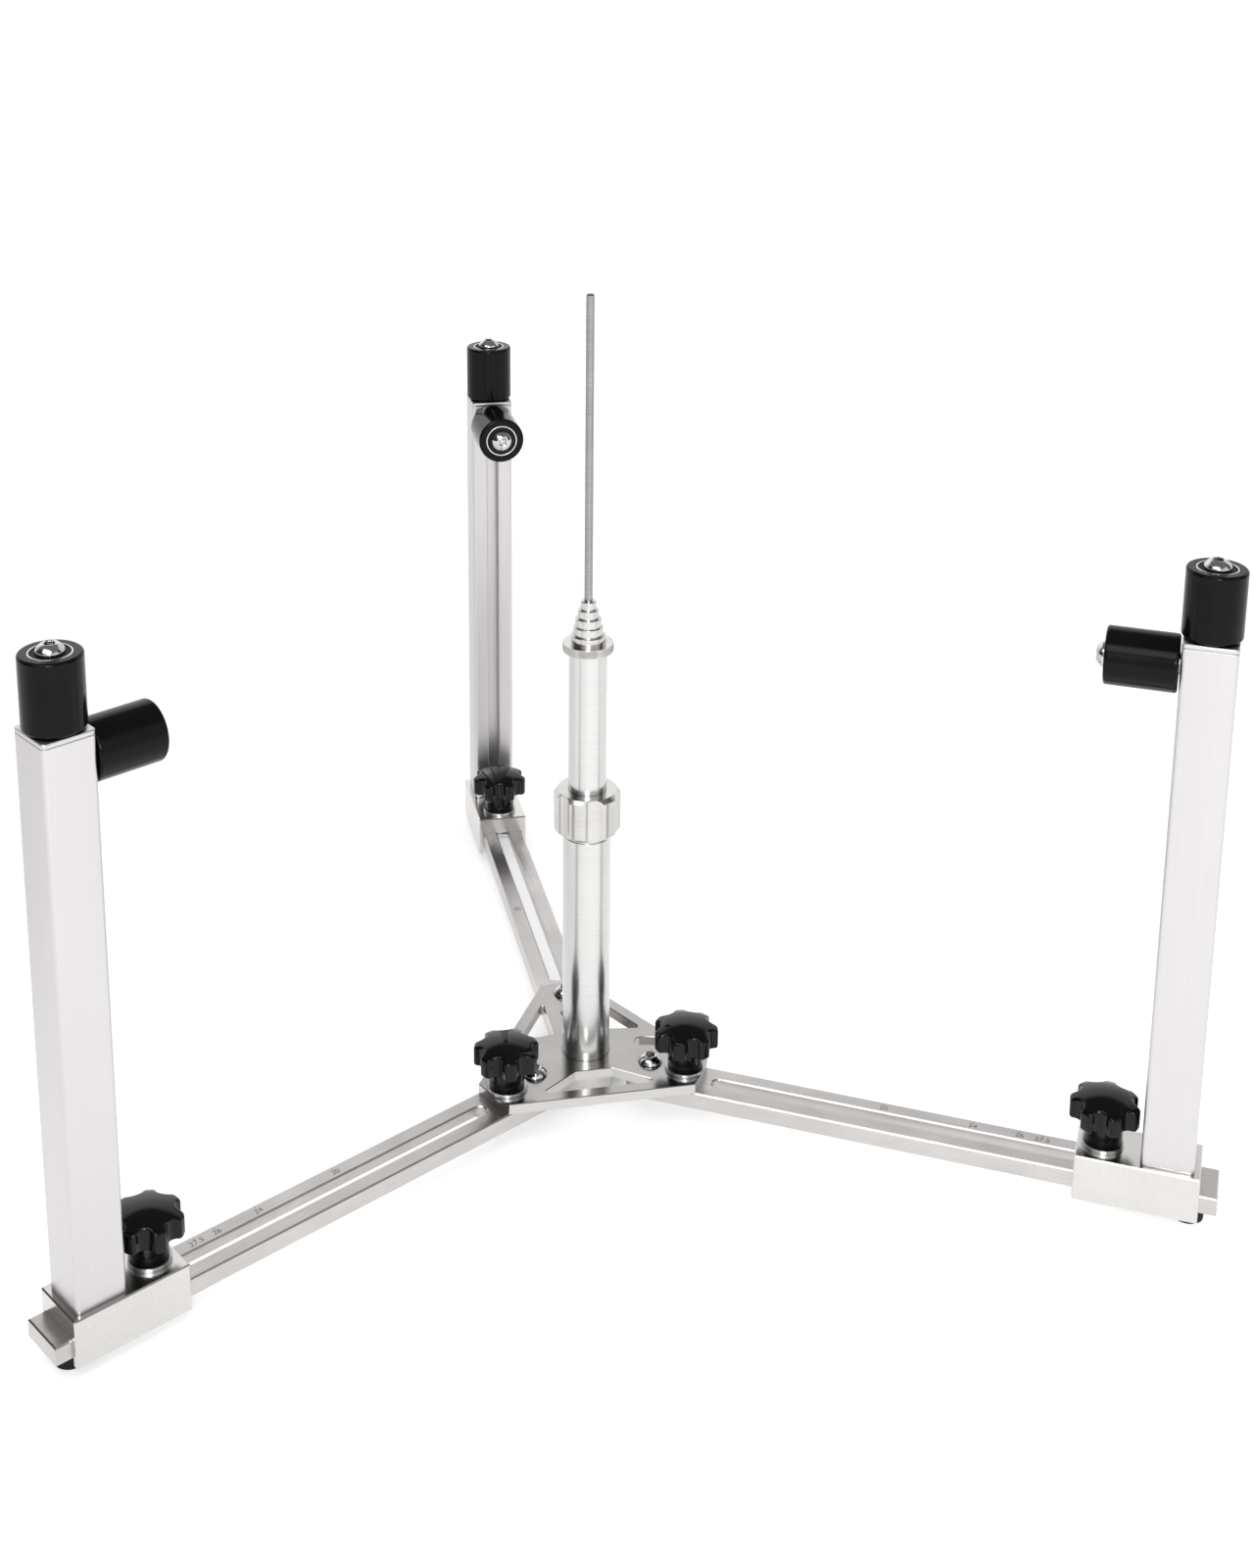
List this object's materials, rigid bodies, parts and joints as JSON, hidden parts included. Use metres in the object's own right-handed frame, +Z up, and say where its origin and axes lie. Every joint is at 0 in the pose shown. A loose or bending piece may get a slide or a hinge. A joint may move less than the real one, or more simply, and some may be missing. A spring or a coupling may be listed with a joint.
{
  "type": "bicycle wheel truing stand",
  "caption": "Horizontal bicycle wheel truing stand: slotted folding arms with roller posts on sliding carriages around a height-adjustable hub column.",
  "frame": {"origin": "on the column's axis, at the floor, in the middle of the rubber pad under the hub plate", "axes": "+Z up along the column; +Y out along the fixed rear arm; +X to the right, with the front arms at 30 degrees below the X axis"},
  "size_m": [0.6384, 0.5529, 0.4905],
  "materials": {
    "satin_aluminium": "satin",
    "turned_aluminium": "satin",
    "polished_steel": "polished",
    "bearing_steel": "ground",
    "knob_plastic": "gloss",
    "roller_plastic": "satin",
    "foot_rubber": "matte"
  },
  "bodies": {
    "base": {"hub_plate": "satin_aluminium", "centre_boss": "turned_aluminium", "centre_pad": "foot_rubber", "column_tube": "turned_aluminium", "column_bolt": "polished_steel", "clamp_collet": "turned_aluminium", "rear_arm": "satin_aluminium", "rear_arm_screws": "polished_steel", "rear_foot": "foot_rubber", "arm_pivot_screws": "polished_steel", "arm_pivot_nuts": "polished_steel"},
    "clamp_collar": {"clamp_collar": "turned_aluminium"},
    "upper_column": {"upper_tube": "turned_aluminium"},
    "hub_centring": {"hub_adapter": "polished_steel", "guide_rod": "polished_steel"},
    "left_arm": {"left_arm": "satin_aluminium", "left_foot": "foot_rubber"},
    "left_arm_knob": {"left_arm_knob": "knob_plastic", "left_arm_knob_stud": "polished_steel"},
    "left_carriage": {"left_carriage": "satin_aluminium", "left_post": "satin_aluminium", "left_post_cap": "satin_aluminium", "left_slot_nut": "polished_steel", "left_roller_bolts": "polished_steel", "left_roller_spacers": "bearing_steel"},
    "left_carriage_knob": {"left_carriage_knob": "knob_plastic", "left_carriage_knob_stud": "polished_steel"},
    "left_side_roller": {"left_side_roller": "roller_plastic", "left_side_bearings": "bearing_steel"},
    "left_support_roller": {"left_support_roller": "roller_plastic", "left_support_bearings": "bearing_steel"},
    "right_arm": {"right_arm": "satin_aluminium", "right_foot": "foot_rubber"},
    "right_arm_knob": {"right_arm_knob": "knob_plastic", "right_arm_knob_stud": "polished_steel"},
    "right_carriage": {"right_carriage": "satin_aluminium", "right_post": "satin_aluminium", "right_post_cap": "satin_aluminium", "right_slot_nut": "polished_steel", "right_roller_bolts": "polished_steel", "right_roller_spacers": "bearing_steel"},
    "right_carriage_knob": {"right_carriage_knob": "knob_plastic", "right_carriage_knob_stud": "polished_steel"},
    "right_side_roller": {"right_side_roller": "roller_plastic", "right_side_bearings": "bearing_steel"},
    "right_support_roller": {"right_support_roller": "roller_plastic", "right_support_bearings": "bearing_steel"},
    "rear_carriage": {"rear_carriage": "satin_aluminium", "rear_post": "satin_aluminium", "rear_post_cap": "satin_aluminium", "rear_slot_nut": "polished_steel", "rear_roller_bolts": "polished_steel", "rear_roller_spacers": "bearing_steel"},
    "rear_carriage_knob": {"rear_carriage_knob": "knob_plastic", "rear_carriage_knob_stud": "polished_steel"},
    "rear_side_roller": {"rear_side_roller": "roller_plastic", "rear_side_bearings": "bearing_steel"},
    "rear_support_roller": {"rear_support_roller": "roller_plastic", "rear_support_bearings": "bearing_steel"}
  },
  "joints": [
    {"name": "collar_turn", "type": "hinge", "parent": "base", "child": "clamp_collar", "pos_m": [0, 0, 0.1845], "axis": [0, 0, 1], "range_deg": [0, 180]},
    {"name": "column_rise", "type": "slide", "parent": "base", "child": "upper_column", "axis": [0, 0, 1], "range_m": [-0.045, 0.045]},
    {"name": "adapter_spin", "type": "hinge", "parent": "upper_column", "child": "hub_centring", "pos_m": [0, 0, 0.2955], "axis": [0, 0, 1], "continuous": true},
    {"name": "left_arm_fold", "type": "hinge", "parent": "base", "child": "left_arm", "pos_m": [-0.03464, -0.02, 0.017], "axis": [0, 0, -1], "range_deg": [0, 120]},
    {"name": "left_arm_knob_turn", "type": "hinge", "parent": "left_arm", "child": "left_arm_knob", "pos_m": [-0.05283, -0.0305, 0.0455], "axis": [0, 0, 1], "range_deg": [0, 360]},
    {"name": "left_carriage_slide", "type": "slide", "parent": "left_arm", "child": "left_carriage", "axis": [-0.866, -0.5, 0], "range_m": [-0.195, 0.03]},
    {"name": "left_carriage_knob_turn", "type": "hinge", "parent": "left_carriage", "child": "left_carriage_knob", "pos_m": [-0.25851, -0.14925, 0.0505], "axis": [0, 0, 1], "range_deg": [0, 360]},
    {"name": "left_side_roller_spin", "type": "hinge", "parent": "left_carriage", "child": "left_side_roller", "pos_m": [-0.28882, -0.16675, 0.3558], "axis": [0, 0, 1], "continuous": true},
    {"name": "left_support_roller_spin", "type": "hinge", "parent": "left_carriage", "child": "left_support_roller", "pos_m": [-0.25998, -0.1501, 0.32], "axis": [-0.866, -0.5, 0], "continuous": true},
    {"name": "right_arm_fold", "type": "hinge", "parent": "base", "child": "right_arm", "pos_m": [0.03464, -0.02, 0.017], "axis": [0, 0, 1], "range_deg": [0, 120]},
    {"name": "right_arm_knob_turn", "type": "hinge", "parent": "right_arm", "child": "right_arm_knob", "pos_m": [0.05283, -0.0305, 0.0455], "axis": [0, 0, 1], "range_deg": [0, 360]},
    {"name": "right_carriage_slide", "type": "slide", "parent": "right_arm", "child": "right_carriage", "axis": [0.866, -0.5, 0], "range_m": [-0.195, 0.03]},
    {"name": "right_carriage_knob_turn", "type": "hinge", "parent": "right_carriage", "child": "right_carriage_knob", "pos_m": [0.25851, -0.14925, 0.0505], "axis": [0, 0, 1], "range_deg": [0, 360]},
    {"name": "right_side_roller_spin", "type": "hinge", "parent": "right_carriage", "child": "right_side_roller", "pos_m": [0.28882, -0.16675, 0.3558], "axis": [0, 0, 1], "continuous": true},
    {"name": "right_support_roller_spin", "type": "hinge", "parent": "right_carriage", "child": "right_support_roller", "pos_m": [0.25998, -0.1501, 0.32], "axis": [0.866, -0.5, 0], "continuous": true},
    {"name": "rear_carriage_slide", "type": "slide", "parent": "base", "child": "rear_carriage", "axis": [0, 1, 0], "range_m": [-0.195, 0.03]},
    {"name": "rear_carriage_knob_turn", "type": "hinge", "parent": "rear_carriage", "child": "rear_carriage_knob", "pos_m": [0, 0.2985, 0.0505], "axis": [0, 0, 1], "range_deg": [0, 360]},
    {"name": "rear_side_roller_spin", "type": "hinge", "parent": "rear_carriage", "child": "rear_side_roller", "pos_m": [0, 0.3335, 0.3558], "axis": [0, 0, 1], "continuous": true},
    {"name": "rear_support_roller_spin", "type": "hinge", "parent": "rear_carriage", "child": "rear_support_roller", "pos_m": [0, 0.3002, 0.32], "axis": [0, 1, 0], "continuous": true}
  ]
}
